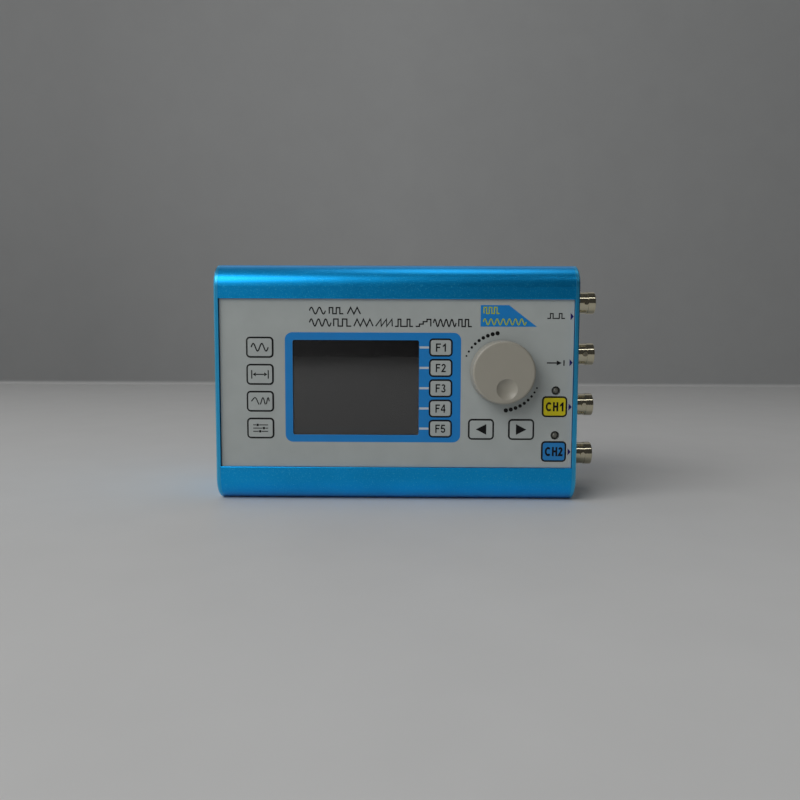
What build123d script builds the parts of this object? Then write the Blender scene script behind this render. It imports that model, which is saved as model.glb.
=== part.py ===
from build123d import *
import math
import os

# Bench function generator: an extruded aluminium case standing on its long edge, closed by two
# end plates. The front carries a membrane keypad, a colour display and a rotary encoder. Four
# bayonet coaxial sockets leave the right end plate; power switch, USB and DC sockets the left.
#
# Frame: millimetres, +Z up, the front faces -Y, +X is the side with the coaxial sockets.
# The origin is the middle of the case's bottom face.

# ---- driving dimensions -------------------------------------------------------------------
CASE_W = 145.0          # over both end plates
CASE_D = 55.0
CASE_H = 95.0
CORNER_R = 9.0          # long edges of the extrusion
PLATE_T = 1.8           # end plates
PLATE_BEVEL = 0.6       # their outer rim
SEAM_BEVEL = 0.1        # their inner rim, which shows as a fine line against the case
WALL = 1.6
BAND_H = 13.8           # plain band above and below the front panel
PANEL_RECESS = 1.0      # keypad surface behind the front of the bands
LIP_DEPTH, LIP_HEIGHT = 0.13, 0.2       # bevel along the bands' edges beside the panel

FRONT = -CASE_D / 2
BACK = CASE_D / 2
MID_Z = CASE_H / 2
HOUSING_L = CASE_W - 2 * PLATE_T
END_X = HOUSING_L / 2   # inner faces of the end plates

OVERLAY_T = 0.35
FRONT_PLATE_T = 1.5
GROOVE_GAP = 0.05
PLATE_PLAY = 0.2        # open gap between each end plate and the front plate and membrane
OVERLAY_Y = FRONT + PANEL_RECESS
PLATE_Y = OVERLAY_Y + OVERLAY_T
PLATE_BACK_Y = PLATE_Y + FRONT_PLATE_T
GROOVE_DEPTH = 2.4      # how far the front plate reaches behind each band

BOARD_T = 1.6
FRONT_BOARD_Y = -17.9   # front face of the keypad board
MAIN_BOARD_Y = 8.25     # front face of the main board

# ---- front panel layout -------------------------------------------------------------------
KEY_GAP = 0.1           # between a key and the membrane around it
KEY_RIM = 0.5           # printed outline round each key, outside the raised pad
KEY_RISE = 0.3          # how far a key stands proud of the membrane
KEY_T = 0.9
KEY_TRAVEL = 0.3

MENU_X, MENU_TOP_Z, MENU_PITCH = -54.5, 61.9, 10.82
FUNCTION_X, FUNCTION_TOP_Z, FUNCTION_PITCH = 17.75, 62.05, 8.13
ARROW_Z = 29.35
CHANNEL_X = 63.4
MENU_SIZE = (10.9, 8.3)         # outlines, width and height
FUNCTION_SIZE = (9.3, 7.15)
ARROW_SIZE = (10.35, 8.35)
CHANNEL_SIZE = (10.0, 8.3)

SCREEN_X, SCREEN_Z = -16.2, 45.9
SCREEN_W, SCREEN_H = 50.5, 38.0
SCREEN_R = 0.8

KNOB_X, KNOB_Z = 42.1, 52.4
KNOB_R = 12.75
KNOB_WALL = 2.0
KNOB_FACE_Y = OVERLAY_Y - 8.0
KNOB_BACK_Y = OVERLAY_Y - 0.8
KNOB_PUSH = 0.5

LED_X, LED_ZS, LED_R = 63.8, (45.05, 27.05), 1.45

# ---- end plates and their connectors ------------------------------------------------------
SCREW_Y = 22.0
SCREW_Z = 5.5           # from the bottom and from the top
SCREW_R, SCREW_CLEAR = 1.45, 0.15
HEAD_R, HEAD_H, HEAD_SUNK = 2.75, 1.2, 0.1
SCREW_END = 9.0         # how far the screws reach in from the end plate's face
BNC_Y = 1.0
BNC_ZS = (81.2, 59.15, 37.2, 15.75)       # logic output, external input, channels 1 and 2
BNC_TIP_X = CASE_W / 2 + 12.4
SWITCH_Z, USB_Z, DC_Z = 74.0, 47.5, 21.0
ROCKER_TILT = 11.0      # half of the rocker's swing


# ---- helpers ------------------------------------------------------------------------------
def block(x0, x1, y0, y1, z0, z1):
    """A box between two opposite corners."""
    return Pos((x0 + x1) / 2, (y0 + y1) / 2, (z0 + z1) / 2) * Box(x1 - x0, y1 - y0, z1 - z0)


def rod_x(radius, x0, x1, y, z):
    """A cylinder along X."""
    return Pos((x0 + x1) / 2, y, z) * Rot(0, 90, 0) * Cylinder(radius, x1 - x0)


def rod_y(radius, x, y0, y1, z):
    """A cylinder along Y."""
    return Pos(x, (y0 + y1) / 2, z) * Rot(90, 0, 0) * Cylinder(radius, y1 - y0)


def panel(x, z, width, height, radius, y0, y1):
    """A rounded rectangle facing -Y, from y0 in front to y1 behind."""
    return Pos(x, y1, z) * Rot(90, 0, 0) * extrude(RectangleRounded(width, height, radius), y1 - y0)


def along_x(sketch, x0, x1):
    """A profile drawn in Y and Z about mid height, drawn out along X."""
    return extrude(Plane((x0, 0, MID_Z), x_dir=(0, 1, 0), z_dir=(1, 0, 0)) * sketch, x1 - x0)


def rect_at(y0, y1, v0, v1):
    """A rectangle in a profile, in Y and in height from the middle."""
    return Pos((y0 + y1) / 2, (v0 + v1) / 2) * Rectangle(abs(y1 - y0), abs(v1 - v0))


def key_places():
    """Name, centre and outline of every key."""
    places = {}
    for i, name in enumerate(("wave", "measure", "sweep", "system")):
        places[name] = (MENU_X, MENU_TOP_Z - i * MENU_PITCH, MENU_SIZE)
    for i in range(5):
        places[f"f{i + 1}"] = (FUNCTION_X, FUNCTION_TOP_Z - i * FUNCTION_PITCH, FUNCTION_SIZE)
    places["left_arrow"] = (34.1, ARROW_Z, ARROW_SIZE)
    places["right_arrow"] = (50.2, ARROW_Z, ARROW_SIZE)
    places["channel_1"] = (CHANNEL_X, 38.6, CHANNEL_SIZE)
    places["channel_2"] = (CHANNEL_X, 20.5, CHANNEL_SIZE)
    return places


def pad_size(size):
    return size[0] - 2 * KEY_RIM, size[1] - 2 * KEY_RIM


# ---- case ---------------------------------------------------------------------------------
BOSS_R, BOSS_HOLE_R = 3.2, 1.5
RIB_BACK_Y = PLATE_BACK_Y + GROOVE_GAP + 1.4    # back of the rib behind the front plate
SLOT_REACH = 2.6                                # how far the board guides reach inwards
SLOT_RIB = 1.2


def housing():
    """One extruded shell, open at the front, with grooves for the front plate, slots for the
    main board and a screw boss in each corner."""
    half = CASE_H / 2
    outline = RectangleRounded(CASE_D, CASE_H, CORNER_R)
    inside = RectangleRounded(CASE_D - 2 * WALL, CASE_H - 2 * WALL, CORNER_R - WALL)
    profile = outline - inside
    profile -= rect_at(FRONT - 1, FRONT + WALL + 1, BAND_H - half, half - BAND_H)
    for up in (-1, 1):
        edge = up * (half - BAND_H)
        profile -= Polygon((FRONT, edge), (FRONT + LIP_DEPTH, edge), (FRONT, edge + up * LIP_HEIGHT), align=None)
        profile += rect_at(FRONT + WALL, RIB_BACK_Y, up * (half - SCREW_Z), up * (half - BAND_H + 0.9))
        for y0 in (MAIN_BOARD_Y - 0.05 - SLOT_RIB, MAIN_BOARD_Y + BOARD_T + 0.05):
            profile += rect_at(y0, y0 + SLOT_RIB, up * (half - WALL + 0.2), up * (half - WALL - SLOT_REACH))
        for side in (-1, 1):
            boss = Pos(side * SCREW_Y, up * (half - SCREW_Z)) * Circle(BOSS_R)
            profile += boss & outline
    for up in (-1, 1):
        groove_end = half - BAND_H + GROOVE_DEPTH + 0.1
        groove_start = half - BAND_H - 2
        profile -= rect_at(PLATE_Y - GROOVE_GAP, PLATE_BACK_Y + GROOVE_GAP, up * groove_end, up * groove_start)
        for side in (-1, 1):
            profile -= Pos(side * SCREW_Y, up * (half - SCREW_Z)) * Circle(BOSS_HOLE_R)
    return along_x(profile, -END_X, END_X)


def screw_places():
    """Centres of the end plate screws, in Y and Z."""
    return [(y, z) for y in (-SCREW_Y, SCREW_Y) for z in (SCREW_Z, CASE_H - SCREW_Z)]


def end_plate(side):
    """An end plate with a bevelled rim and four countersunk holes. side is -1 left, 1 right."""
    x0, x1 = sorted((side * END_X, side * CASE_W / 2))
    plate = along_x(RectangleRounded(CASE_D, CASE_H, CORNER_R), x0, x1)
    outer, inner = (-1, 0) if side > 0 else (0, -1)
    for index, bevel in ((outer, PLATE_BEVEL), (inner, SEAM_BEVEL)):
        plate = chamfer(plate.faces().sort_by(Axis.X)[index].edges(), bevel)
    hole_r, sink_r, sink_depth = SCREW_R + SCREW_CLEAR, HEAD_R + 0.2, HEAD_H + SCREW_CLEAR
    for y, z in screw_places():
        plate -= rod_x(hole_r, x0 - 1, x1 + 1, y, z)
        sink = Cone(hole_r, sink_r, sink_depth)
        plate -= Pos(side * (CASE_W / 2 - sink_depth / 2), y, z) * Rot(0, side * 90, 0) * sink
    return plate


def right_end_plate():
    plate = end_plate(1)
    for z in BNC_ZS:
        plate -= rod_x(BNC_NECK_R + 0.15, END_X - 1, CASE_W / 2 + 1, BNC_Y, z)
    return plate


def left_end_plate():
    plate = end_plate(-1)
    x0, x1 = -CASE_W / 2 - 1, -END_X + 1
    plate -= block(x0, x1, -4.4, 4.4, SWITCH_Z - 6.85, SWITCH_Z + 6.85)
    plate -= block(x0, x1, USB_Y0 - 0.15, MAIN_BOARD_Y + 0.1, USB_Z - USB_W / 2 - 0.15, USB_Z + USB_W / 2 + 0.15)
    plate -= rod_x(DC_NOSE_R + 0.15, x0, x1, DC_Y, DC_Z)
    return plate


def end_plate_screws():
    """Eight countersunk machine screws with cross recesses."""
    screws = []
    for side in (-1, 1):
        for y, z in screw_places():
            face = side * (CASE_W / 2 - HEAD_SUNK)
            head = Pos(face - side * HEAD_H / 2, y, z) * Rot(0, side * 90, 0) * Cone(SCREW_R, HEAD_R, HEAD_H)
            x0, x1 = sorted((face - side * (HEAD_H - 0.1), side * (CASE_W / 2 - SCREW_END)))
            screw = head + rod_x(SCREW_R, x0, x1, y, z)
            for w, h in ((0.75, 3.2), (3.2, 0.75)):
                x0, x1 = sorted((face + side * 1, face - side * 0.9))
                screw -= block(x0, x1, y - w / 2, y + w / 2, z - h / 2, z + h / 2)
            screws.append(screw)
    return Compound(children=screws)


# ---- front panel --------------------------------------------------------------------------
WINDOW_LAND = 1.0       # how far the display window reaches behind the membrane


def front_plate():
    """The rigid plate that slides into the case's front grooves and backs the membrane."""
    height = CASE_H - 2 * (BAND_H - GROOVE_DEPTH)
    reach = END_X - PLATE_PLAY
    plate = block(-reach, reach, PLATE_Y, PLATE_BACK_Y, MID_Z - height / 2, MID_Z + height / 2)
    for x, z, size in key_places().values():
        w, h = pad_size(size)
        plate -= panel(x, z, w + 0.6, h + 0.6, 1.2, PLATE_Y - 1, PLATE_BACK_Y + 1)
    w, h = SCREEN_W + 2 * WINDOW_LAND + 0.1, SCREEN_H + 2 * WINDOW_LAND + 0.1
    plate -= panel(SCREEN_X, SCREEN_Z, w, h, 1.3, PLATE_Y - 1, PLATE_BACK_Y + 1)
    plate -= rod_y(BUSH_R + 0.1, KNOB_X, PLATE_Y - 1, PLATE_BACK_Y + 1, KNOB_Z)
    for z in LED_ZS:
        plate -= rod_y(LED_R + 0.15, LED_X, PLATE_Y - 1, PLATE_BACK_Y + 1, z)
    return plate


def membrane_overlay():
    """The printed polyester sheet on the front plate, open at the keys, display, knob and LEDs."""
    height = CASE_H - 2 * BAND_H - 0.3
    reach = END_X - PLATE_PLAY
    sheet = block(-reach, reach, OVERLAY_Y, PLATE_Y, MID_Z - height / 2, MID_Z + height / 2)
    for x, z, size in key_places().values():
        w, h = pad_size(size)
        sheet -= panel(x, z, w + 2 * KEY_GAP, h + 2 * KEY_GAP, 1.1 + KEY_GAP, OVERLAY_Y - 1, PLATE_Y + 1)
    sheet -= panel(SCREEN_X, SCREEN_Z, SCREEN_W, SCREEN_H, SCREEN_R, OVERLAY_Y - 1, PLATE_Y + 1)
    sheet -= rod_y(7.0, KNOB_X, OVERLAY_Y - 1, PLATE_Y + 1, KNOB_Z)
    for z in LED_ZS:
        sheet -= rod_y(LED_R + 0.1, LED_X, OVERLAY_Y - 1, PLATE_Y + 1, z)
    return sheet


def display_window():
    """The clear acrylic pane held between the membrane and the display."""
    w, h = SCREEN_W + 2 * WINDOW_LAND, SCREEN_H + 2 * WINDOW_LAND
    return panel(SCREEN_X, SCREEN_Z, w, h, 1.2, PLATE_Y + 0.02, PLATE_BACK_Y - 0.1)


def key_pad(x, z, size):
    """The raised, moving part of one membrane key."""
    w, h = pad_size(size)
    front = OVERLAY_Y - KEY_RISE
    pad = panel(x, z, w, h, 1.1, front, front + KEY_T)
    return fillet(pad.faces().sort_by(Axis.Y)[0].edges(), 0.22)


# ---- keypad board -------------------------------------------------------------------------
SWITCH_BODY = 6.0
SWITCH_BODY_T = 3.5
PLUNGER_R = 1.75
KEY_BACK_Y = OVERLAY_Y - KEY_RISE + KEY_T
STANDOFF_PLACES = ((-66.0, 18.5), (-66.0, 76.5), (52.0, 18.5), (65.0, 76.5))
BOARD_HALF_W = 69.0


def switch_plunger(x, z):
    """The stem of the tactile switch behind a key."""
    return rod_y(PLUNGER_R, x, KEY_BACK_Y, FRONT_BOARD_Y - 1.2, z)


def tact_switch_bodies():
    """The fixed bodies of the thirteen tactile switches."""
    bodies = []
    for x, z, _ in key_places().values():
        half = SWITCH_BODY / 2
        body = block(x - half, x + half, FRONT_BOARD_Y - SWITCH_BODY_T, FRONT_BOARD_Y, z - half, z + half)
        body -= rod_y(PLUNGER_R + 0.06, x, FRONT_BOARD_Y - SWITCH_BODY_T - 1, FRONT_BOARD_Y - 0.8, z)
        bodies.append(body)
    return Compound(children=bodies)


def front_board():
    board = block(-BOARD_HALF_W, BOARD_HALF_W, FRONT_BOARD_Y, FRONT_BOARD_Y + BOARD_T, 14.6, 80.4)
    for x, z in STANDOFF_PLACES:
        board -= rod_y(1.35, x, FRONT_BOARD_Y - 1, FRONT_BOARD_Y + BOARD_T + 1, z)
    return board


def board_standoffs():
    """Tapped posts fixed to the back of the front plate."""
    posts = []
    for x, z in STANDOFF_PLACES:
        post = rod_y(2.5, x, PLATE_BACK_Y, FRONT_BOARD_Y, z)
        posts.append(post - rod_y(1.25, x, PLATE_BACK_Y + 1, FRONT_BOARD_Y + 1, z))
    return Compound(children=posts)


def board_screws():
    """Pan head screws that hold the keypad board to its standoffs."""
    screws = []
    back = FRONT_BOARD_Y + BOARD_T
    for x, z in STANDOFF_PLACES:
        head = rod_y(2.3, x, back, back + 1.7, z)
        head = fillet(head.faces().sort_by(Axis.Y)[-1].edges(), 0.5)
        screw = head + rod_y(1.2, x, FRONT_BOARD_Y - 4.5, back, z)
        for w, h in ((0.6, 2.6), (2.6, 0.6)):
            screw -= block(x - w / 2, x + w / 2, back + 0.9, back + 3, z - h / 2, z + h / 2)
        screws.append(screw)
    return Compound(children=screws)


LCD_W, LCD_H = 60.3, 42.7
LCD_X = SCREEN_X - 2.0              # the module's cable side is wider
LCD_FRONT_Y = PLATE_BACK_Y + 0.1


def lcd_frame():
    """The holder that carries the display's glass above the keypad board."""
    z0, z1 = SCREEN_Z - LCD_H / 2, SCREEN_Z + LCD_H / 2
    frame = block(LCD_X - LCD_W / 2, LCD_X + LCD_W / 2, LCD_FRONT_Y, FRONT_BOARD_Y, z0, z1)
    frame -= block(LCD_X - 28.6, LCD_X + 28.6, LCD_FRONT_Y + 0.3, FRONT_BOARD_Y - 2.0, z0 + 0.8, z1 - 0.8)
    opening = panel(SCREEN_X, SCREEN_Z, SCREEN_W + 0.6, SCREEN_H + 0.6, 0.5, LCD_FRONT_Y - 1, LCD_FRONT_Y + 1)
    return frame - opening


def lcd_glass():
    """The display's glass and light guide."""
    return block(LCD_X - 28.4, LCD_X + 28.4, LCD_FRONT_Y + 0.35, FRONT_BOARD_Y - 2.1,
                 SCREEN_Z - LCD_H / 2 + 1.0, SCREEN_Z + LCD_H / 2 - 1.0)


def channel_leds():
    """The two round indicator lamps above the channel keys, on their leads."""
    lamps = []
    tip = OVERLAY_Y + 0.15
    for z in LED_ZS:
        lamp = rod_y(LED_R, LED_X, tip + LED_R, tip + 5.0, z)
        lamp += Pos(LED_X, tip + LED_R, z) * Sphere(LED_R)
        lamp += rod_y(LED_R + 0.35, LED_X, tip + 4.2, tip + 5.0, z)
        for dx in (-0.9, 0.9):
            lamp += rod_y(0.25, LED_X + dx, tip + 4.9, FRONT_BOARD_Y, z)
        lamps.append(lamp)
    return Compound(children=lamps)


# ---- rotary encoder and knob --------------------------------------------------------------
BUSH_R = 3.5
BUSH_FRONT_Y = PLATE_BACK_Y - 4.75
SHAFT_R = 3.0
SHAFT_FRONT_Y = KNOB_FACE_Y + 1.3
SHAFT_BACK_Y = -20.4
PUSH_PIN_BACK_Y = -18.9
KNOB_BOSS_Y = BUSH_FRONT_Y - 0.7
D_FLAT = 1.6            # the shaft's flat, from the axis


def d_rod(radius, flat, y0, y1):
    """A D-shaped rod on the knob's axis, with its flat on top."""
    rod = rod_y(radius, KNOB_X, y0, y1, KNOB_Z)
    return rod - block(KNOB_X - 9, KNOB_X + 9, y0 - 1, y1 + 1, KNOB_Z + flat, KNOB_Z + 9)


def encoder_body():
    """The encoder's case and threaded bush, hollow for the shaft and the push contact."""
    case = block(KNOB_X - 6.1, KNOB_X + 6.1, PLATE_BACK_Y, FRONT_BOARD_Y, KNOB_Z - 6.0, KNOB_Z + 6.0)
    bush = rod_y(BUSH_R, KNOB_X, BUSH_FRONT_Y, PLATE_BACK_Y + 0.5, KNOB_Z)
    bush = chamfer(bush.faces().sort_by(Axis.Y)[0].edges(), 0.35)
    body = case + bush
    body -= rod_y(SHAFT_R + 0.05, KNOB_X, BUSH_FRONT_Y - 1, -20.9, KNOB_Z)
    return body - rod_y(4.3, KNOB_X, -22.2, FRONT_BOARD_Y - 0.4, KNOB_Z)


def encoder_shaft():
    """The turning shaft, flatted where the knob grips it, with a thrust collar inside."""
    shaft = d_rod(SHAFT_R, D_FLAT, SHAFT_FRONT_Y, KNOB_BOSS_Y + 0.2)
    shaft += rod_y(SHAFT_R, KNOB_X, KNOB_BOSS_Y + 0.2, SHAFT_BACK_Y, KNOB_Z)
    return shaft + rod_y(4.0, KNOB_X, -21.7, SHAFT_BACK_Y, KNOB_Z)


def encoder_push_pin():
    """The push contact's button: it slides with the shaft but doesn't turn."""
    return rod_y(2.0, KNOB_X, SHAFT_BACK_Y, PUSH_PIN_BACK_Y, KNOB_Z)


def encoder_nut():
    """The hexagon nut that clamps the encoder to the front plate."""
    nut = Rot(90, 0, 0) * extrude(RegularPolygon(5.0, 6, major_radius=False), 1.8)
    nut = chamfer(nut.faces().sort_by(Axis.Y)[0].edges(), 0.25)
    return Pos(KNOB_X, PLATE_Y, KNOB_Z) * nut - rod_y(BUSH_R + 0.03, KNOB_X, PLATE_Y - 5, PLATE_Y + 1, KNOB_Z)


def knob():
    """A low drum knob, hollow behind, with a finger dimple near its rim."""
    floor_y, boss_r, draft = KNOB_FACE_Y + KNOB_WALL + 0.2, 5.0, 0.2
    outline = Polyline(
        (0, KNOB_FACE_Y),
        (KNOB_R - 2 * draft, KNOB_FACE_Y),
        (KNOB_R, KNOB_BACK_Y),
        (KNOB_R - KNOB_WALL, KNOB_BACK_Y),
        (KNOB_R - KNOB_WALL - draft, floor_y),
        (boss_r + draft, floor_y),
        (boss_r, KNOB_BOSS_Y),
        (0, KNOB_BOSS_Y),
        close=True,
    )
    body = revolve(make_face(outline), Axis.Y)
    rim = body.edges().filter_by(GeomType.CIRCLE).sort_by(Axis.Y)[0]
    body = Pos(KNOB_X, 0, KNOB_Z) * fillet(rim, 1.0)
    body -= d_rod(SHAFT_R + 0.02, D_FLAT + 0.02, SHAFT_FRONT_Y - 0.05, KNOB_BOSS_Y + 1)
    dimple_r, dimple_depth, dimple_off, angle = 4.1, 1.5, 6.55, math.radians(-80)
    ball_r = (dimple_r ** 2 + dimple_depth ** 2) / (2 * dimple_depth)
    x, z = KNOB_X + dimple_off * math.cos(angle), KNOB_Z + dimple_off * math.sin(angle)
    body -= Pos(x, KNOB_FACE_Y + dimple_depth - ball_r, z) * Sphere(ball_r)
    lip = body.edges().filter_by(lambda e: abs(e.length - math.tau * dimple_r) < 0.2).sort_by(Axis.Y)[0]
    return fillet(lip, 0.25)


# ---- main board ---------------------------------------------------------------------------
def main_board():
    inner = CASE_H - 2 * WALL
    return block(-BOARD_HALF_W, BOARD_HALF_W, MAIN_BOARD_Y, MAIN_BOARD_Y + BOARD_T,
                 MID_Z - inner / 2 + 0.6, MID_Z + inner / 2 - 0.6)


def board_components():
    """Chips, coils and capacitors on the front of the main board."""
    chips = ((-2.0, 60.0, 17.0, 17.0, 1.5), (-2.0, 35.0, 10.0, 10.0, 1.3), (14.0, 80.0, 9.0, 5.5, 1.6),
             (-24.0, 28.0, 12.0, 12.0, 4.5), (-24.0, 70.0, 7.0, 7.0, 1.2), (-40.0, 62.0, 6.5, 10.0, 2.3))
    parts = []
    for x, z, w, h, t in chips:
        chip = block(x - w / 2, x + w / 2, MAIN_BOARD_Y - t, MAIN_BOARD_Y, z - h / 2, z + h / 2)
        parts.append(chamfer(chip.faces().sort_by(Axis.Y)[0].edges(), 0.25))
    for x, z in ((-44.0, 12.0), (-34.0, 12.0), (-44.0, 30.0), (-34.0, 44.0)):
        can = rod_y(4.0, x, MAIN_BOARD_Y - 10.0, MAIN_BOARD_Y, z)
        parts.append(fillet(can.faces().sort_by(Axis.Y)[0].edges(), 0.6))
    return Compound(children=parts)


def shield_can():
    """The pressed tin screen over the output amplifiers."""
    x0, x1, z0, z1 = 22.0, 50.0, 12.0, 84.0
    can = block(x0, x1, MAIN_BOARD_Y - 7.0, MAIN_BOARD_Y, z0, z1)
    can = fillet(can.faces().sort_by(Axis.Y)[0].edges(), 0.6)
    return can - block(x0 + 0.4, x1 - 0.4, MAIN_BOARD_Y - 6.6, MAIN_BOARD_Y + 1, z0 + 0.4, z1 - 0.4)


RIBBON_X, RIBBON_W, RIBBON_T = -42.0, 20.0, 0.9
RIBBON_PLUG_L, RIBBON_PLUG_W, RIBBON_PLUG_T = 24.0, 5.0, 7.0


def ribbon_cable():
    """The flat cable between the two boards, with the plug and header at each of its ends."""
    front_z, back_z = 62.0, 54.0
    front_y, back_y = FRONT_BOARD_Y + BOARD_T, MAIN_BOARD_Y
    ends = []
    for y0, y1, z in ((front_y, front_y + RIBBON_PLUG_T, front_z), (back_y - RIBBON_PLUG_T, back_y, back_z)):
        half_l, half_w = RIBBON_PLUG_L / 2, RIBBON_PLUG_W / 2
        ends.append(block(RIBBON_X - half_l, RIBBON_X + half_l, y0, y1, z - half_w, z + half_w))
    y_out, y_in = front_y + 4.5, back_y - 4.5
    top, low = front_z + RIBBON_PLUG_W / 2, back_z + RIBBON_PLUG_W / 2
    route = [(y_out, top), (y_out, top + 6), (y_in, top + 6), (y_in, low)]
    path = FilletPolyline(*[(RIBBON_X, y, z) for y, z in route], radius=2.5)
    section = Plane(origin=path @ 0, x_dir=(1, 0, 0), z_dir=path % 0) * Rectangle(RIBBON_W, RIBBON_T)
    return Compound(children=ends + [sweep(section, path)])


# ---- coaxial sockets ----------------------------------------------------------------------
BNC_R, BNC_BORE_R = 4.8, 4.08
BNC_RELIEF_R = 4.6                  # behind the front land, so a plug's locking ring runs free
BNC_NECK_R = 6.3                    # half-inch panel thread, as a plain cylinder
BNC_NUT_HALF_AF, BNC_WASHER_R = 7.15, 7.9
BNC_SHOULDER_X = CASE_W / 2 + 3.1
BNC_LUG_X = BNC_TIP_X - 4.2
BNC_LAND_X = BNC_LUG_X + 1.15       # the land runs from here to the tip
BNC_FLOOR_X = CASE_W / 2 + 2.2      # where the socket's bore ends
BNC_BLOCK_X = END_X - 13.5


def bnc_socket(z):
    """A panel socket: the cast block on the board, the threaded neck, the barrel and its lugs."""
    body = block(BNC_BLOCK_X, END_X - 0.2, BNC_Y - 7.25, MAIN_BOARD_Y, z - 7.25, z + 7.25)
    neck = rod_x(BNC_NECK_R, END_X - 0.5, BNC_SHOULDER_X, BNC_Y, z)
    body += chamfer(neck.faces().sort_by(Axis.X)[-1].edges(), 0.4)
    body += rod_x(BNC_RELIEF_R, BNC_SHOULDER_X - 1, BNC_LAND_X, BNC_Y, z)
    land = rod_x(BNC_R, BNC_LAND_X, BNC_TIP_X, BNC_Y, z)
    body += fillet(land.faces().sort_by(Axis.X)[-1].edges(), 0.3)
    body += rod_y(0.98, BNC_LUG_X, BNC_Y - 5.55, BNC_Y + 5.55, z)
    body -= rod_x(BNC_BORE_R, BNC_FLOOR_X - 6, BNC_TIP_X + 1, BNC_Y, z)
    return body - rod_x(1.6, BNC_BLOCK_X - 1, BNC_TIP_X, BNC_Y, z)


def bnc_insulators():
    """The white insulator of each coaxial socket: a disc and the sleeve round the contact."""
    parts = []
    for z in BNC_ZS:
        part = rod_x(BNC_BORE_R - 0.03, BNC_FLOOR_X - 6, BNC_FLOOR_X, BNC_Y, z)
        part += rod_x(2.35, BNC_FLOOR_X - 1, BNC_TIP_X - 2.2, BNC_Y, z)
        parts.append(part - rod_x(1.1, BNC_FLOOR_X - 7, BNC_TIP_X, BNC_Y, z))
    return Compound(children=parts)


def bnc_contacts():
    """The plated centre contact of each coaxial socket, bored for the plug's pin."""
    parts = []
    for z in BNC_ZS:
        part = rod_x(1.07, BNC_BLOCK_X - 1.5, BNC_TIP_X - 2.3, BNC_Y, z)
        parts.append(part - rod_x(0.7, BNC_TIP_X - 8.5, BNC_TIP_X, BNC_Y, z))
    return Compound(children=parts)


def bnc_nuts():
    """A washer and a hexagon nut on each socket's threaded neck."""
    parts = []
    for z in BNC_ZS:
        x = CASE_W / 2
        bore = rod_x(BNC_NECK_R + 0.03, x - 1, x + 5, BNC_Y, z)
        parts.append(rod_x(BNC_WASHER_R, x, x + 0.5, BNC_Y, z) - bore)
        nut = Rot(0, 90, 0) * extrude(RegularPolygon(BNC_NUT_HALF_AF, 6, major_radius=False), 1.9)
        nut = chamfer(nut.faces().sort_by(Axis.X)[-1].edges(), 0.3)
        parts.append(Pos(x + 0.5, BNC_Y, z) * nut - bore)
    return Compound(children=parts)


# ---- left end connectors ------------------------------------------------------------------
USB_W, USB_H, USB_L = 12.0, 10.9, 16.0
USB_Y0 = MAIN_BOARD_Y - USB_H
DC_NOSE_R = 4.0
DC_Y = MAIN_BOARD_Y - 6.5


def usb_socket():
    """A square device socket: its tin shell with bevelled corners and the tongue inside."""
    x0, x1 = -CASE_W / 2 + 0.1, -CASE_W / 2 + 0.1 + USB_L
    y1, z0, z1 = MAIN_BOARD_Y, USB_Z - USB_W / 2, USB_Z + USB_W / 2
    shell = block(x0, x1, USB_Y0, y1, z0, z1)
    cavity = block(x0 - 1, x1 - 3.0, USB_Y0 + 1.4, y1 - 1.3, z0 + 1.5, z1 - 1.5)
    bevelled = [e for e in cavity.edges().filter_by(Axis.X) if e.center().Y < USB_Y0 + 3]
    shell -= chamfer(bevelled, 1.6)
    mid = (USB_Y0 + y1) / 2
    tongue = block(x0 + 1.0, x1 - 3.0, mid - 1.5, mid + 1.5, USB_Z - 2.8, USB_Z + 2.8)
    return Compound(children=[shell, tongue])


def dc_jack():
    """The power inlet: a moulded body with a round nose, and its centre pin."""
    x_face, x_body, x_end = -CASE_W / 2 + 0.1, -END_X + 0.2, -END_X + 13.0
    body = block(x_body, x_end, MAIN_BOARD_Y - 11.0, MAIN_BOARD_Y, DC_Z - 4.5, DC_Z + 4.5)
    body += rod_x(DC_NOSE_R, x_face, x_body + 1, DC_Y, DC_Z)
    body -= rod_x(3.15, x_face - 1, x_end - 2.5, DC_Y, DC_Z)
    pin = rod_x(1.0, x_face + 1.2, x_end - 2.5, DC_Y, DC_Z)
    pin = fillet(pin.faces().sort_by(Axis.X)[0].edges(), 0.5)
    return Compound(children=[body, pin])


ROCKER_X = -CASE_W / 2 + 0.6       # the rocker's pivot
ROCKER_R = 6.6


def switch_body():
    """The snap-in body of the power switch with its bezel and two tabs, hollow for the rocker."""
    face = -CASE_W / 2
    bezel = block(face - 1.6, face, -5.2, 5.2, SWITCH_Z - 7.6, SWITCH_Z + 7.6)
    bezel = fillet(bezel.edges().filter_by(Axis.X), 0.8)
    bezel = chamfer(bezel.faces().sort_by(Axis.X)[0].edges(), 0.4)
    body = bezel + block(face - 0.1, face + 12.0, -4.2, 4.2, SWITCH_Z - 6.6, SWITCH_Z + 6.6)
    body -= block(face - 3, face + 9.0, -3.4, 3.4, SWITCH_Z - 5.9, SWITCH_Z + 5.9)
    for dz in (-3.5, 3.5):
        body += block(face + 11.5, face + 16.5, -2.4, 2.4, SWITCH_Z + dz - 0.4, SWITCH_Z + dz + 0.4)
    return body - rod_y(0.85, ROCKER_X, -3.9, 3.9, SWITCH_Z)


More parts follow.
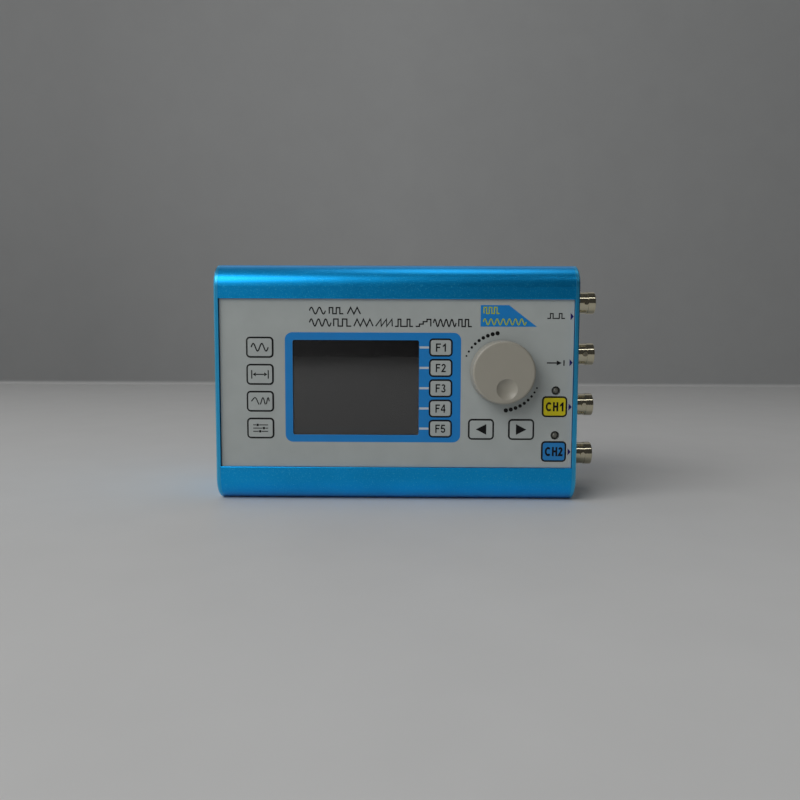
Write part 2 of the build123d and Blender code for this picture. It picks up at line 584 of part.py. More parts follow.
def power_rocker():
    """The rocker on its two stub axles. Its face is a shallow V, tilted to off at rest."""
    half = 5.6
    outline = [(-2.7, -half), (-1.0, 0), (-2.7, half), (2.2, half - 1.6), (4.2, 0), (2.2, 1.6 - half)]
    body = extrude(Plane((ROCKER_X, 0, SWITCH_Z), x_dir=(1, 0, 0), z_dir=(0, -1, 0)) * Polygon(*outline, align=None),
                   3.25, both=True)
    body = fillet(body.edges().filter_by(Axis.Y), 0.3)
    tilted = Pos(ROCKER_X, 0, SWITCH_Z) * Rot(0, ROCKER_TILT, 0) * Pos(-ROCKER_X, 0, -SWITCH_Z) * body
    return tilted + rod_y(0.8, ROCKER_X, -3.8, 3.8, SWITCH_Z)


# ---- the assembly -------------------------------------------------------------------------
def all_parts():
    """Every node of the object, by name."""
    parts = {
        "housing": housing(),
        "left_end_plate": left_end_plate(),
        "right_end_plate": right_end_plate(),
        "end_plate_screws": end_plate_screws(),
        "front_plate": front_plate(),
        "membrane_overlay": membrane_overlay(),
        "display_window": display_window(),
        "lcd_frame": lcd_frame(),
        "lcd_glass": lcd_glass(),
        "front_board": front_board(),
        "board_standoffs": board_standoffs(),
        "board_screws": board_screws(),
        "tact_switch_bodies": tact_switch_bodies(),
        "channel_leds": channel_leds(),
        "encoder_body": encoder_body(),
        "encoder_nut": encoder_nut(),
        "encoder_shaft": encoder_shaft(),
        "encoder_push_pin": encoder_push_pin(),
        "knob": knob(),
        "main_board": main_board(),
        "board_components": board_components(),
        "shield_can": shield_can(),
        "ribbon_cable": ribbon_cable(),
        "bnc_insulators": bnc_insulators(),
        "bnc_contacts": bnc_contacts(),
        "bnc_nuts": bnc_nuts(),
        "usb_socket": usb_socket(),
        "dc_jack": dc_jack(),
        "switch_body": switch_body(),
        "power_rocker": power_rocker(),
    }
    for name, z in zip(("ttl", "ext", "ch1", "ch2"), BNC_ZS):
        parts[f"bnc_{name}"] = bnc_socket(z)
    for name, (x, z, size) in key_places().items():
        parts[f"key_{name}"] = key_pad(x, z, size)
        parts[f"plunger_{name}"] = switch_plunger(x, z)
    return parts


if __name__ == "__main__":
    os.makedirs("parts", exist_ok=True)
    for node, shape in all_parts().items():
        export_step(shape, f"parts/{node}.step")
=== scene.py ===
"""Looks, printed graphics, light and camera for the portable function generator."""
import bmesh
import bpy
import math
from mathutils import Matrix, Vector


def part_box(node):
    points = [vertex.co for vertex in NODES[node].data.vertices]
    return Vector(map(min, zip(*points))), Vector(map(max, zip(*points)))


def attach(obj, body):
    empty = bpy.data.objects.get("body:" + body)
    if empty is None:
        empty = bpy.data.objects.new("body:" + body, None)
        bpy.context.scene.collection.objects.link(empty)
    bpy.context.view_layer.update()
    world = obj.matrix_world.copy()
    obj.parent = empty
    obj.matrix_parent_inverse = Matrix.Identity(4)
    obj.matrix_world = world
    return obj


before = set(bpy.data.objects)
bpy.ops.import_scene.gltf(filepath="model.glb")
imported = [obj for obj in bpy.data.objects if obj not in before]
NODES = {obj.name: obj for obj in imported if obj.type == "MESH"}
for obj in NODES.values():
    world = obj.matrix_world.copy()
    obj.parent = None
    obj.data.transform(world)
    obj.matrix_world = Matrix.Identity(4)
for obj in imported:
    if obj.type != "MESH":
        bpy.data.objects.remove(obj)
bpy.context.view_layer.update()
MM = 0.001

# ---- where things are, in millimetres, read from the frame ---------------------------------


def box_mm(node):
    """A node's lowest and highest corner in millimetres."""
    low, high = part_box(node)
    return Vector(low) / MM, Vector(high) / MM


def centre_size(node):
    """A node's centre and size as seen from the front: x, z, width, height."""
    low, high = box_mm(node)
    return (low.x + high.x) / 2, (low.z + high.z) / 2, high.x - low.x, high.z - low.z


OVERLAY_Y = box_mm("membrane_overlay")[0].y
KEY_Y = box_mm("key_f1")[0].y
KEY_RIM = 0.55          # the printed outline's width beyond each pad
KEY_GAP = 0.1           # open gap round each pad
KEY_CORNER_R = 1.1
KEY_EDGE = 0.02         # a pad is dark from this far behind its front
FILM = 0.02             # thickness of one printed layer
END_BEVEL = 0.6         # the bevel round the end plates
WINDOW_LAND = 1.0       # how far the display window reaches behind the membrane

# the blue print round the display and the function keys: centre x, z, width, height
BLUE_FRAME = (-9.35, 45.94, 70.3, 43.96)
BLUE_FRAME_R, WINDOW_R = 3.0, 0.8
MENU_LINE = 0.85        # width of the pale line to each function key

HEADING_LEFT, HEADING_Z, HEADING_GAP = -34.6, 71.8, 1.05
HEADING_LINE = 0.5

BADGE_LEFT, BADGE_LOW, BADGE_HIGH = 33.4, 70.4, 78.9
BADGE_TOP_RIGHT, BADGE_LOW_RIGHT = 44.6, 55.8

POINTER_ZS = (74.5, 56.2, 38.5, 20.4)       # one beside each socket
POINTER_X, POINTER_W, POINTER_HALF_H = 69.0, 1.3, 1.42

DOT_RING_R, DOT_SWEEP, DOT_COUNT = 15.5, 58.8, 9
DOT_STARTS = (97, -83)                      # degrees, where each arc of dots begins
DOT_BIG_R, DOT_SMALL_R = 0.86, 0.36

LAMP_RING_OUTER_R, LAMP_RING_INNER_R, LAMP_FLANGE_R = 1.72, 1.56, 1.8

MENU_KEYS = ("wave", "measure", "sweep", "system")
FUNCTION_KEYS = ("f1", "f2", "f3", "f4", "f5")
ARROW_KEYS = ("left_arrow", "right_arrow")
CHANNEL_KEYS = ("channel_1", "channel_2")
ALL_KEYS = MENU_KEYS + FUNCTION_KEYS + ARROW_KEYS + CHANNEL_KEYS

# ---- node materials -----------------------------------------------------------------------


class Shader:
    """A small helper that builds one Principled material out of nodes."""

    def __init__(self, name):
        self.material = bpy.data.materials.new(name)
        self.material.use_nodes = True
        self.tree = self.material.node_tree
        self.tree.nodes.clear()
        self.bsdf = self.node("ShaderNodeBsdfPrincipled")
        output = self.node("ShaderNodeOutputMaterial")
        self.tree.links.new(self.bsdf.outputs[0], output.inputs["Surface"])
        self.place = self.node("ShaderNodeTexCoord").outputs["Object"]

    def node(self, kind, **values):
        """Adds a node. Values set properties, or inputs where no such property exists."""
        made = self.tree.nodes.new(kind)
        for key, value in values.items():
            if hasattr(made, key):
                setattr(made, key, value)
            else:
                self.feed(made.inputs[key.replace("_", " ")], value)
        return made

    def feed(self, socket, value):
        """Links an output to a socket, or sets the socket's value."""
        if isinstance(value, bpy.types.NodeSocket):
            self.tree.links.new(value, socket)
        else:
            socket.default_value = value

    def set(self, **values):
        """Sets inputs of the Principled shader."""
        for key, value in values.items():
            self.feed(self.bsdf.inputs[key.replace("_", " ")], value)

    def noise(self, scale, detail=2.0, stretch=None):
        """Noise of the given grain per metre, as a number about 0.5."""
        place = self.place
        if stretch:
            mapping = self.node("ShaderNodeMapping")
            mapping.inputs["Scale"].default_value = stretch
            self.feed(mapping.inputs["Vector"], place)
            place = mapping.outputs[0]
        return self.node("ShaderNodeTexNoise", Vector=place, Scale=scale, Detail=detail).outputs["Fac"]

    def spread(self, value, low, high, start=0.3, end=0.7):
        """Maps a value that runs from start to end onto low to high."""
        ranged = self.node("ShaderNodeMapRange")
        self.feed(ranged.inputs["Value"], value)
        for key, number in (("From Min", start), ("From Max", end), ("To Min", low), ("To Max", high)):
            ranged.inputs[key].default_value = number
        return ranged.outputs[0]

    def blend(self, factor, first, second):
        """Mixes two colours."""
        mix = self.node("ShaderNodeMix", data_type="RGBA")
        self.feed(mix.inputs[0], factor)
        self.feed(mix.inputs[6], first)
        self.feed(mix.inputs[7], second)
        return mix.outputs[2]

    def math(self, operation, first, second=0.0):
        """Works out one number from two, or from one."""
        made = self.node("ShaderNodeMath", operation=operation)
        self.feed(made.inputs[0], first)
        self.feed(made.inputs[1], second)
        return made.outputs[0]

    def axis(self, index):
        """One coordinate of the point, in metres, in the row's frame at rest."""
        return self.node("ShaderNodeSeparateXYZ", Vector=self.place).outputs[index]

    def bump(self, height, distance, strength=1.0):
        """Bumps the surface by a height map, with the given depth in metres."""
        node = self.node("ShaderNodeBump", Strength=strength, Distance=distance)
        self.feed(node.inputs["Height"], height)
        self.set(Normal=node.outputs[0])


def linear(red, green, blue):
    """A colour given as it looks on screen, turned into the linear numbers that shaders take."""
    def channel(value):
        value /= 255
        return value / 12.92 if value <= 0.04045 else ((value + 0.055) / 1.055) ** 2.4
    return (channel(red), channel(green), channel(blue), 1.0)


def shade(colour, amount):
    """The same colour made lighter or darker."""
    return tuple(min(1.0, c * amount) for c in colour[:3]) + (1.0,)


def moulded(name, colour, roughness=0.45, grain=2500, depth=4e-6, mottling=0.06):
    """Moulded plastic: a fine texture, with slightly uneven colour and gloss."""
    s = Shader(name)
    coarse = s.noise(90)
    tone = s.blend(s.spread(coarse, 0, 1), shade(colour, 1 - mottling), shade(colour, 1 + mottling))
    s.set(Base_Color=tone, Roughness=s.spread(s.noise(400), roughness - 0.05, roughness + 0.05))
    s.bump(s.noise(grain), depth)
    return s.material


def plated(name, colour, roughness=0.2, streaks=(1, 1, 1), depth=1e-6):
    """Bright or brushed metal, with fine tool marks along the unstretched direction."""
    s = Shader(name)
    marks = s.noise(1500, 3, streaks)
    s.set(Metallic=1.0,
          Base_Color=s.blend(s.spread(s.noise(60), 0, 1), shade(colour, 0.92), colour),
          Roughness=s.spread(marks, roughness * 0.75, roughness * 1.3))
    s.bump(marks, depth)
    return s.material


def film(name, colour, edge=None, edge_y=0.0, specular=0.5):
    """Satin printed film. Behind edge_y, in metres, it takes the edge colour."""
    s = Shader(name)
    tone = s.blend(s.spread(s.noise(120), 0, 1), shade(colour, 0.97), shade(colour, 1.03))
    if edge:
        behind = s.math("GREATER_THAN", s.axis(1), edge_y)
        tone = s.blend(behind, tone, edge)
    s.set(Base_Color=tone, Roughness=s.spread(s.noise(700), 0.36, 0.46), Specular_IOR_Level=specular)
    s.bump(s.noise(3200, 3), 3e-6)
    return s.material


def anodised(name, colour):
    """Bead-blasted, anodised aluminium with a fine sparkle. The end plates take a lighter blue, partly their
    own tone and partly painted highlight, and their bevels a brighter painted highlight.
    """
    s = Shader(name)
    grain = s.noise(2600, 2)
    coarse = s.noise(35, 3)
    tone = s.blend(s.spread(coarse, 0, 1), shade(colour, 0.93), shade(colour, 1.05))
    tone = s.blend(s.spread(grain, 0, 1, 0.58, 0.72), tone, SPARKLE)
    out = s.math("ABSOLUTE", s.axis(0))
    low, high = box_mm("right_end_plate")
    plate = s.math("GREATER_THAN", out, (low.x + 0.01) * MM)
    # the bevels round the end plates: a painted highlight colour, with lower roughness
    bevel = s.math("MULTIPLY", s.math("GREATER_THAN", out, (high.x - END_BEVEL + 0.01) * MM),
                   s.math("LESS_THAN", out, (high.x - 0.005) * MM))
    # the end plates take a lighter, more teal blue: partly their own tone, partly painted highlight
    tone = s.blend(plate, tone, PLATE_TONE_AND_HIGHLIGHT)
    s.set(Metallic=1.0,
          Base_Color=s.blend(bevel, tone, PAINTED_BEVEL_HIGHLIGHT),
          Roughness=s.math("SUBTRACT", s.spread(grain, 0.30, 0.40), s.math("MULTIPLY", bevel, 0.14)),
          Coat_Weight=0.2, Coat_Roughness=0.3)
    s.bump(grain, 1.6e-5)
    return s.material


def clear(name, tint):
    """Clear polished acrylic."""
    s = Shader(name)
    s.set(Base_Color=tint, Roughness=s.spread(s.noise(500), 0.015, 0.035), IOR=1.49, Transmission_Weight=1.0)
    return s.material


BLUE = linear(10, 173, 251)
SPARKLE = linear(60, 200, 255)
# the end plates' lighter blue is partly their own tone and partly painted highlight
PLATE_TONE_AND_HIGHLIGHT = linear(60, 184, 240)
# painted highlight on the bevels round the end plates
PAINTED_BEVEL_HIGHLIGHT = linear(78, 194, 242)
PANEL = linear(176, 182, 180)
PRINT_BLUE = linear(8, 130, 206)
INK = linear(9, 9, 11)

MATERIALS = {
    "blue": anodised("blue_anodised_aluminium", BLUE),
    "panel": film("membrane_film", PANEL),
    "key": film("key_film", shade(PANEL, 1.02), INK, (KEY_Y + KEY_EDGE) * MM),
    "key_yellow": film("key_yellow_film", linear(214, 200, 4), INK, (KEY_Y + KEY_EDGE) * MM),
    "key_blue": film("key_blue_film", linear(30, 128, 196), INK, (KEY_Y + KEY_EDGE) * MM),
    "ink": film("black_ink", INK, specular=0.25),
    "navy_ink": film("navy_ink", linear(28, 18, 96), specular=0.25),
    "blue_ink": film("blue_ink", PRINT_BLUE),
    "pale_ink": film("pale_ink", linear(196, 206, 214)),
    "lime_ink": film("lime_ink", linear(176, 190, 44)),
    "knob": moulded("knob_plastic", linear(164, 160, 148), 0.36, 1800, 2e-6, 0.02),
    "black": moulded("black_plastic", linear(26, 26, 28), 0.4),
    "gloss_black": moulded("gloss_black_plastic", linear(14, 14, 16), 0.16, depth=1e-6),
    "display": moulded("display_glass", linear(12, 9, 10), 0.08, depth=5e-7),
    "white": moulded("white_plastic", linear(232, 231, 226), 0.38),
    "cream": moulded("cream_plastic", linear(205, 198, 178), 0.4),
    "grey": moulded("cable_grey", linear(140, 140, 143), 0.5),
    "board": moulded("green_board", linear(16, 96, 44), 0.28, 1200, 2e-6, 0.1),
    "lens": moulded("lamp_lens", linear(112, 112, 104), 0.2, depth=1e-6),
    "nickel": plated("bright_nickel", linear(205, 198, 174), 0.09, (1, 6, 6)),
    "steel": plated("plated_steel", linear(196, 196, 198), 0.26),
    "tin": plated("tin_plate", linear(205, 206, 208), 0.3),
    "gold": plated("gold_plate", linear(222, 182, 92), 0.2),
    "brass": plated("turned_brass", linear(200, 168, 96), 0.28),
    "aluminium": plated("mill_aluminium", linear(190, 192, 194), 0.4, (1, 1, 12)),
    "pane": clear("clear_acrylic", (0.97, 0.975, 0.98, 1.0)),
}

LOOKS = {
    "blue": ("housing", "left_end_plate", "right_end_plate"),
    "panel": ("membrane_overlay",),
    "knob": ("knob",),
    "pane": ("display_window",),
    "display": ("lcd_glass",),
    "black": ("lcd_frame", "tact_switch_bodies", "board_components", "switch_body", "dc_jack"),
    "gloss_black": ("power_rocker",),
    "board": ("front_board", "main_board"),
    "brass": ("board_standoffs",),
    "steel": ("end_plate_screws", "board_screws", "encoder_body", "encoder_nut", "encoder_shaft"),
    "tin": ("shield_can", "usb_socket"),
    "aluminium": ("front_plate",),
    "nickel": ("bnc_ttl", "bnc_ext", "bnc_ch1", "bnc_ch2", "bnc_nuts"),
    "white": ("bnc_insulators",),
    "gold": ("bnc_contacts",),
    "grey": ("ribbon_cable",),
    "lens": ("channel_leds",),
    "cream": ("encoder_push_pin",) + tuple(f"plunger_{key}" for key in ALL_KEYS),
    "key": tuple(f"key_{key}" for key in ALL_KEYS[:-2]),
    "key_yellow": ("key_channel_1",),
    "key_blue": ("key_channel_2",),
}
for look, names in LOOKS.items():
    for node_name in names:
        for material_slot in NODES[node_name].material_slots:
            material_slot.material = MATERIALS[look]

# ---- printed graphics ---------------------------------------------------------------------


def rounded(x, z, width, height, radius, steps=7):
    """The outline of a rounded rectangle."""
    points = []
    corners = ((1, 1, 0), (-1, 1, 90), (-1, -1, 180), (1, -1, 270))
    for side_x, side_z, start in corners:
        cx, cz = x + side_x * (width / 2 - radius), z + side_z * (height / 2 - radius)
        for i in range(steps + 1):
            angle = math.radians(start + 90 * i / steps)
            points.append((cx + radius * math.cos(angle), cz + radius * math.sin(angle)))
    return points


def circle(x, z, radius, steps=40):
    return [(x + radius * math.cos(math.tau * i / steps), z + radius * math.sin(math.tau * i / steps))
            for i in range(steps)]


def stroke(points, width):
    """The outline of a line of the given width along the points."""
    points = [Vector(p) for p in points]
    left, right = [], []
    for i, point in enumerate(points):
        before = (point - points[i - 1]).normalized() if i else None
        after = (points[i + 1] - point).normalized() if i + 1 < len(points) else None
        along = ((before or after) + (after or before)).normalized()
        across = Vector((-along.y, along.x))
        reach = width / 2 / max(0.45, across.dot(Vector((-(after or before).y, (after or before).x))))
        left.append(tuple(point + across * reach))
        right.append(tuple(point - across * reach))
    return left + right[::-1]


def settle(name, curve, y, look, body):
    """Turns a flat curve into a mesh that stands upright with its front face at y."""
    holder = bpy.data.objects.new(name + "_curve", curve)
    bpy.context.collection.objects.link(holder)
    mesh = bpy.data.meshes.new_from_object(holder.evaluated_get(bpy.context.evaluated_depsgraph_get()))
    bpy.data.objects.remove(holder)
    mesh.transform(Matrix.Translation((0, (y + FILM / 2) * MM, 0)) @ Matrix.Rotation(math.pi / 2, 4, "X"))
    work = bmesh.new()
    work.from_mesh(mesh)
    bmesh.ops.remove_doubles(work, verts=work.verts, dist=1e-7)
    bmesh.ops.recalc_face_normals(work, faces=work.faces)
    work.to_mesh(mesh)
    work.free()
    mesh.materials.clear()
    mesh.materials.append(MATERIALS[look])
    piece = bpy.data.objects.new(name, mesh)
    bpy.context.collection.objects.link(piece)
    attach(piece, body)
    return piece


def printed(name, loops, look, body="case", slot="membrane_film", y=None, layer=1):
    """A printed shape made of closed outlines. An outline inside another is a hole."""
    curve = bpy.data.curves.new(name, "CURVE")
    curve.dimensions = "2D"
    curve.fill_mode = "BOTH"
    curve.extrude = FILM / 2 * MM
    for loop in loops:
        spline = curve.splines.new("POLY")
        spline.points.add(len(loop) - 1)
        for point, (x, z) in zip(spline.points, loop):
            point.co = (x * MM, z * MM, 0, 1)
        spline.use_cyclic_u = True
    front = OVERLAY_Y if y is None else y
    return settle(name, curve, front - FILM * layer, look, body)


def arc(x, z, radius_x, radius_z, start, end, steps=14):
    """Points along part of an ellipse, from one angle to another in degrees."""
    angles = [math.radians(start + (end - start) * i / steps) for i in range(steps + 1)]
    return [(x + radius_x * math.cos(angle), z + radius_z * math.sin(angle)) for angle in angles]


def letter(char, t):
    """One plain character, one unit high with strokes of width t: its width and its outlines."""
    h = t / 2
    if char == "C":
        return 0.8, [stroke(arc(0.42, 0.5, 0.42 - h, 0.5 - h, 45, 315), t)]
    if char == "F":
        return 0.58, [[(0, 0), (0, 1), (0.58, 1), (0.58, 1 - t), (t, 1 - t), (t, 0.52 + h), (0.5, 0.52 + h),
                       (0.5, 0.52 - h), (t, 0.52 - h), (t, 0)]]
    if char == "H":
        return 0.68, [[(0, 0), (0, 1), (t, 1), (t, 0.52 + h), (0.68 - t, 0.52 + h), (0.68 - t, 1), (0.68, 1),
                       (0.68, 0), (0.68 - t, 0), (0.68 - t, 0.52 - h), (t, 0.52 - h), (t, 0)]]
    if char == "1":
        stem = 0.32
        return stem + t, [[(stem, 0), (stem, 0.84 - t), (0.1, 0.72 - t), (0.1, 0.72), (stem + h, 1),
                           (stem + t, 1), (stem + t, 0)]]
    if char == "2":
        return 0.56, [stroke(arc(0.28, 0.7, 0.27 - h, 0.3 - h, 172, -38) + [(0.1, h), (0.56, h)], t)]
    if char == "3":
        upper = arc(0.27, 0.755, 0.25 - h, 0.245 - h, 160, -60, 10)
        return 0.56, [stroke(upper + arc(0.27, 0.275, 0.29 - h, 0.275 - h, 70, -165), t)]
    if char == "4":
        stem, bar = 0.36, 0.24
        outer = [(stem, 0), (stem, bar), (0, bar), (0, bar + t), (stem, 1), (stem + t, 1),
                 (stem + t, bar + t), (0.6, bar + t), (0.6, bar), (stem + t, bar), (stem + t, 0)]
        return 0.6, [outer, [(t, bar + t), (stem, bar + t), (stem, 0.99 - 1.4 * t)]]
    bowl = arc(0.28, 0.325, 0.29 - h, 0.325 - h, 128, -165)
    return 0.57, [stroke([(0.53, 1 - h), (0.14, 1 - h), (0.07, 0.52)] + bowl, t)]


def lettered(name, text, x, z, width, height, line, look, body, slot):
    """A generic label fitted to a box on the front of a key."""
    gap, total, loops = 0.12, 0.0, []
    for char in text:
        advance, outlines = letter(char, line / height)
        loops += [[(total + u, v) for u, v in outline] for outline in outlines]
        total += advance + gap
    total -= gap
    placed = [[(x + width * (u / total - 0.5), z + height * (v - 0.5)) for u, v in loop] for loop in loops]
    return printed(name, placed, look, body, slot, KEY_Y)


def key_outline(key, grow):
    """The rounded outline of a key's pad, grown by a margin."""
    x, z, width, height = centre_size(f"key_{key}")
    return rounded(x, z, width + 2 * grow, height + 2 * grow, KEY_CORNER_R + grow)


# outlines round the keys
for key in ALL_KEYS:
    printed(f"outline_{key}", [key_outline(key, KEY_RIM), key_outline(key, KEY_GAP)], "ink", layer=2)

# the blue frame round the display and the function keys, with a pale line to each key
window_x, window_z, window_w, window_h = centre_size("display_window")
window_w, window_h = window_w - 2 * WINDOW_LAND, window_h - 2 * WINDOW_LAND
blue_loops = [rounded(*BLUE_FRAME, BLUE_FRAME_R), rounded(window_x, window_z, window_w, window_h, WINDOW_R)]
blue_loops += [key_outline(key, KEY_GAP) for key in FUNCTION_KEYS]
printed("blue_frame", blue_loops, "blue_ink")
pale_loops = []
for key in FUNCTION_KEYS:
    x, z, width, _ = centre_size(f"key_{key}")
    start, end = window_x + window_w / 2 + 0.2, x - width / 2 - KEY_RIM - 0.05
    pale_loops.append(rounded((start + end) / 2, z, end - start, MENU_LINE, 0.05))
printed("menu_lines", pale_loops, "pale_ink", layer=2)


def wave_points(kind, x, z, width, height, cycles):
    """Points along a generic waveform."""
    shapes = {
        "sine": [(i / 24, 0.5 * math.sin(math.tau * i / 24)) for i in range(24)],
        "square": [(0, -0.5), (0, 0.5), (0.5, 0.5), (0.5, -0.5)],
        "triangle": [(0, -0.5), (0.5, 0.5)],
        "ramp": [(0, -0.5), (0.94, 0.5)],
        "pulse": [(0, -0.5), (0.35, -0.5), (0.35, 0.5), (0.65, 0.5), (0.65, -0.5)],
        "stairs": [(0, -0.5), (0.25, -0.5), (0.25, -0.17), (0.5, -0.17),
                   (0.5, 0.17), (0.75, 0.17), (0.75, 0.5), (1.0, 0.5)],
    }
    points = []
    for cycle in range(cycles):
        points += [(cycle + u, v) for u, v in shapes[kind]]
    points.append((cycles, points[0][1]))
    return [(x + width * (u / cycles - 0.5), z + height * v) for u, v in points]


def waves(name, rows, look, line, layer=1, **options):
    """Several waveforms in one print: each row is kind, x, z, width, height, cycles."""
    printed(name, [stroke(wave_points(*row), line) for row in rows], look, layer=layer, **options)


# the heading: rows of small waveforms in place of words
waves("heading_top", [("sine", -31.4, 76.5, 6.4, 2.6, 2), ("square", -23.9, 76.5, 5.6, 2.4, 2),
                      ("triangle", -16.9, 76.5, 5.2, 2.6, 2)], "ink", HEADING_LINE)
heading = (("sine", 8.6, 3), ("square", 7.0, 2), ("triangle", 7.6, 3), ("ramp", 6.6, 3), ("pulse", 7.2, 2),
           ("stairs", 6.0, 1), ("sine", 9.0, 4), ("square", 5.2, 2))
rows, left = [], HEADING_LEFT
for kind, width, cycles in heading:
    rows.append((kind, left + width / 2, HEADING_Z, width, 2.8, cycles))
    left += width + HEADING_GAP
waves("heading_bottom", rows, "ink", HEADING_LINE)

# the badge: a blue trapezium with two rows of waves
printed("badge", [[(BADGE_LEFT, BADGE_HIGH), (BADGE_TOP_RIGHT, BADGE_HIGH), (BADGE_LOW_RIGHT, BADGE_LOW),
                   (BADGE_LEFT, BADGE_LOW)]], "blue_ink")
waves("badge_waves", [("square", 37.8, 76.8, 6.2, 2.4, 3), ("sine", 43.0, 72.3, 17.0, 2.3, 7)], "lime_ink",
      0.45, layer=2)

# socket symbols, and a pointer to each socket
waves("pulse_symbol", [("pulse", 63.3, 74.7, 7.0, 1.9, 2)], "ink", 0.42)
entry = [[(60.0, 56.35), (60.0, 55.85), (63.9, 55.85), (63.9, 55.1), (65.9, 56.1), (63.9, 57.1),
          (63.9, 56.35)], stroke([(66.8, 57.2), (66.8, 55.0)], 0.5)]
printed("input_symbol", entry, "ink")
pointers = [[(POINTER_X, z - POINTER_HALF_H), (POINTER_X, z + POINTER_HALF_H), (POINTER_X + POINTER_W, z)]
            for z in POINTER_ZS]
printed("socket_pointers", pointers, "navy_ink")

# dots round the knob, growing with the turn
knob_x, knob_z, _, _ = centre_size("knob")
dots = []
for start in DOT_STARTS:
    for i in range(DOT_COUNT):
        part = i / (DOT_COUNT - 1)
        angle = math.radians(start + DOT_SWEEP * part)
        radius = DOT_BIG_R - (DOT_BIG_R - DOT_SMALL_R) * part ** 1.25
        dot_x, dot_z = knob_x + DOT_RING_R * math.cos(angle), knob_z + DOT_RING_R * math.sin(angle)
        dots.append(circle(dot_x, dot_z, radius, 24))
printed("knob_dots", dots, "ink")

# a dark ring round each channel lamp
lamp_low, lamp_high = box_mm("channel_leds")
lamp_x = (lamp_low.x + lamp_high.x) / 2
lamp_rings = []
for z in (lamp_low.z + LAMP_FLANGE_R, lamp_high.z - LAMP_FLANGE_R):
    lamp_rings += [circle(lamp_x, z, LAMP_RING_OUTER_R), circle(lamp_x, z, LAMP_RING_INNER_R)]
printed("lamp_rings", lamp_rings, "ink")

# labels and symbols on the keys
for key in FUNCTION_KEYS:
    x, z, _, _ = centre_size(f"key_{key}")
    lettered(f"label_{key}", key.upper(), x, z, 4.0, 3.3, 0.54, "ink", f"key_{key}", "key_film")
for number, key in enumerate(CHANNEL_KEYS, 1):
    x, z, _, _ = centre_size(f"key_{key}")
    slot = ("key_yellow", "key_blue")[number - 1]
    lettered(f"label_{key}", f"CH{number}", x, z, 7.1, 3.7, 0.84, "ink", f"key_{key}", slot)
for key, side in zip(ARROW_KEYS, (-1, 1)):
    x, z, _, _ = centre_size(f"key_{key}")
    triangle = [(x - side * 2.1, z - 2.15), (x - side * 2.1, z + 2.15), (x + side * 2.1, z)]
    printed(f"label_{key}", [triangle], "ink", f"key_{key}", "key_film", KEY_Y)


def key_symbol(key, loops):
    """A symbol on the front of a key."""
    printed(f"label_{key}", loops, "ink", f"key_{key}", "key_film", KEY_Y)


x, z, _, _ = centre_size("key_wave")
key_symbol("wave", [stroke(wave_points("sine", x, z, 6.8, 3.0, 2), 0.5)])
x, z, _, _ = centre_size("key_measure")
key_symbol("measure", [stroke([(x - 3.3, z - 1.7), (x - 3.3, z + 1.7)], 0.45),
                       stroke([(x + 3.3, z - 1.7), (x + 3.3, z + 1.7)], 0.45),
                       stroke([(x - 1.6, z), (x + 1.6, z)], 0.45),
                       [(x - 2.9, z), (x - 1.7, z + 0.8), (x - 1.7, z - 0.8)],
                       [(x + 2.9, z), (x + 1.7, z - 0.8), (x + 1.7, z + 0.8)]])
x, z, _, _ = centre_size("key_sweep")
chirp = []
for i in range(121):
    u = i / 120
    chirp.append((x - 3.6 + 7.2 * u, z + 1.45 * math.sin(math.tau * (0.9 * u + 1.6 * u * u))))
key_symbol("sweep", [stroke(chirp, 0.42)])
x, z, _, _ = centre_size("key_system")
sliders = []
for dz, knob_dx in ((1.3, -1.2), (0.0, 1.3), (-1.3, -0.2)):
    centre = x + knob_dx
    sliders += [stroke([(x - 3.0, z + dz), (centre - 0.6, z + dz)], 0.36),
                stroke([(centre + 0.6, z + dz), (x + 3.0, z + dz)], 0.36),
                rounded(centre, z + dz, 0.9, 0.95, 0.2)]
key_symbol("system", sliders)

# ---- floor, backdrop, light and camera ----------------------------------------------------


def stage_material(name, near, far, start, end):
    """Pale matt surface that turns to the backdrop's tone as it rises. The backdrop carries painted shade:
    darker on the left, lighter to the right.
    """
    s = Shader(name)
    rise = s.spread(s.axis(2), 0, 1, start, end)
    # painted shade: the backdrop is darker on the left and lighter to the right
    backdrop = s.blend(s.spread(s.axis(0), 0, 1, -0.45, 0.0), shade(far, 0.8), shade(far, 1.16))
    tone = s.blend(rise, near, backdrop)
    speckle = s.spread(s.noise(30, 4), 0.985, 1.015)
    mix = s.node("ShaderNodeVectorMath", operation="SCALE")
    s.feed(mix.inputs[0], tone)
    s.feed(mix.inputs["Scale"], speckle)
    s.set(Base_Color=mix.outputs[0], Roughness=0.5, Specular_IOR_Level=0.3)
    return s.material


def sweep_stage():
    """A floor that runs back and turns up into a backdrop."""
    back, turn, height, half = 0.717, 0.006, 0.56, 2.6
    profile = [(-2.4, 0.0), (back - turn, 0.0)]
    profile += [(back - turn + turn * math.sin(math.radians(a)), turn - turn * math.cos(math.radians(a)))
                for a in range(15, 91, 15)]
    profile.append((back, height))
    mesh = bpy.data.meshes.new("stage_floor")
    verts = [(side * half, y, z) for y, z in profile for side in (-1, 1)]
    faces = [(2 * i, 2 * i + 1, 2 * i + 3, 2 * i + 2) for i in range(len(profile) - 1)]
    mesh.from_pydata(verts, [], faces)
    mesh.materials.append(stage_material("stage", linear(211, 211, 210), linear(150, 151, 151), 0.0, 0.004))
    for polygon in mesh.polygons:
        polygon.use_smooth = True
    floor = bpy.data.objects.new("stage_floor", mesh)
    bpy.context.collection.objects.link(floor)


def soft_light(name, place, target, size, power):
    """A white rectangular light at a place, turned to a target, with its sides in metres and its watts."""
    data = bpy.data.lights.new(name, "AREA")
    data.shape = "RECTANGLE"
    data.size, data.size_y = size
    data.energy = power
    light = bpy.data.objects.new(name, data)
    light.location = place
    light.rotation_mode = "QUATERNION"
    light.rotation_quaternion = (Vector(target) - Vector(place)).to_track_quat("-Z", "Y")
    bpy.context.collection.objects.link(light)


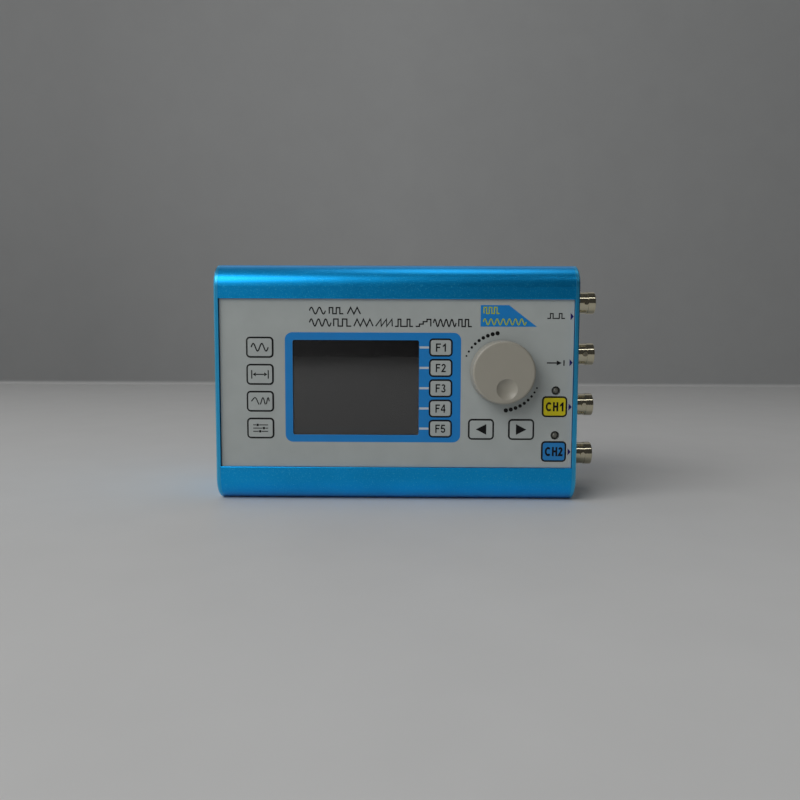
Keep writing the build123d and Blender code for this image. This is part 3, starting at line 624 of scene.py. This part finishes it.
def camera():
    """A pinhole camera in front of the panel, looking slightly down."""
    place = Vector((4.02, -314.1, 65.25)) * MM
    pitch, yaw, roll = math.radians(4.816), math.radians(-0.495), math.radians(0.215)
    forward = Vector((math.sin(yaw) * math.cos(pitch), math.cos(yaw) * math.cos(pitch), -math.sin(pitch)))
    right = forward.cross(Vector((0, 0, 1))).normalized()
    up = right.cross(forward)
    tilted_right = right * math.cos(roll) + up * math.sin(roll)
    tilted_up = up * math.cos(roll) - right * math.sin(roll)
    data = bpy.data.cameras.new("camera")
    data.lens, data.sensor_width = 32.4, 36.0
    data.clip_start, data.clip_end = 0.01, 20.0
    made = bpy.data.objects.new("camera", data)
    turn = Matrix((tilted_right, tilted_up, -forward)).transposed().to_4x4()
    made.matrix_world = Matrix.Translation(place) @ turn
    bpy.context.collection.objects.link(made)
    bpy.context.scene.camera = made


def world_light(right, left, rear):
    """A dim room that is brighter on the left, and high up behind the object."""
    world = bpy.data.worlds.new("room")
    world.use_nodes = True
    tree = world.node_tree
    direction = tree.nodes.new("ShaderNodeTexCoord").outputs["Generated"]
    axes = tree.nodes.new("ShaderNodeSeparateXYZ")
    tree.links.new(direction, axes.inputs[0])
    total = None
    for axis, numbers in ((0, (-1.1, 0.1, left, right)), (1, (0.2, 0.8, 0.0, rear))):
        ranged = tree.nodes.new("ShaderNodeMapRange")
        ranged.interpolation_type = "SMOOTHSTEP"
        tree.links.new(axes.outputs[axis], ranged.inputs["Value"])
        for key, number in zip(("From Min", "From Max", "To Min", "To Max"), numbers):
            ranged.inputs[key].default_value = number
        added = tree.nodes.new("ShaderNodeMath")
        tree.links.new(ranged.outputs[0], added.inputs[0])
        added.inputs[1].default_value = 0.0
        if total:
            tree.links.new(total, added.inputs[1])
        total = added.outputs[0]
    tree.links.new(total, tree.nodes["Background"].inputs["Strength"])
    tree.nodes["Background"].inputs["Color"].default_value = (1.0, 1.0, 1.0, 1.0)
    bpy.context.scene.world = world


sweep_stage()
soft_light("overhead_light", (0.10, 0.02, 1.15), (0.10, 0.0, 0.05), (0.38, 0.5), 0.85)
soft_light("left_light", (-0.85, -0.85, 1.0), (0.0, -0.02, 0.05), (1.3, 0.9), 11.0)
soft_light("right_strip", (0.37, -0.72, 0.99), (0.085, 0.0, 0.06), (0.12, 0.1), 0.12)
world_light(0.05, 0.6, 0.4)
camera()
bpy.context.scene.view_settings.view_transform = "Standard"
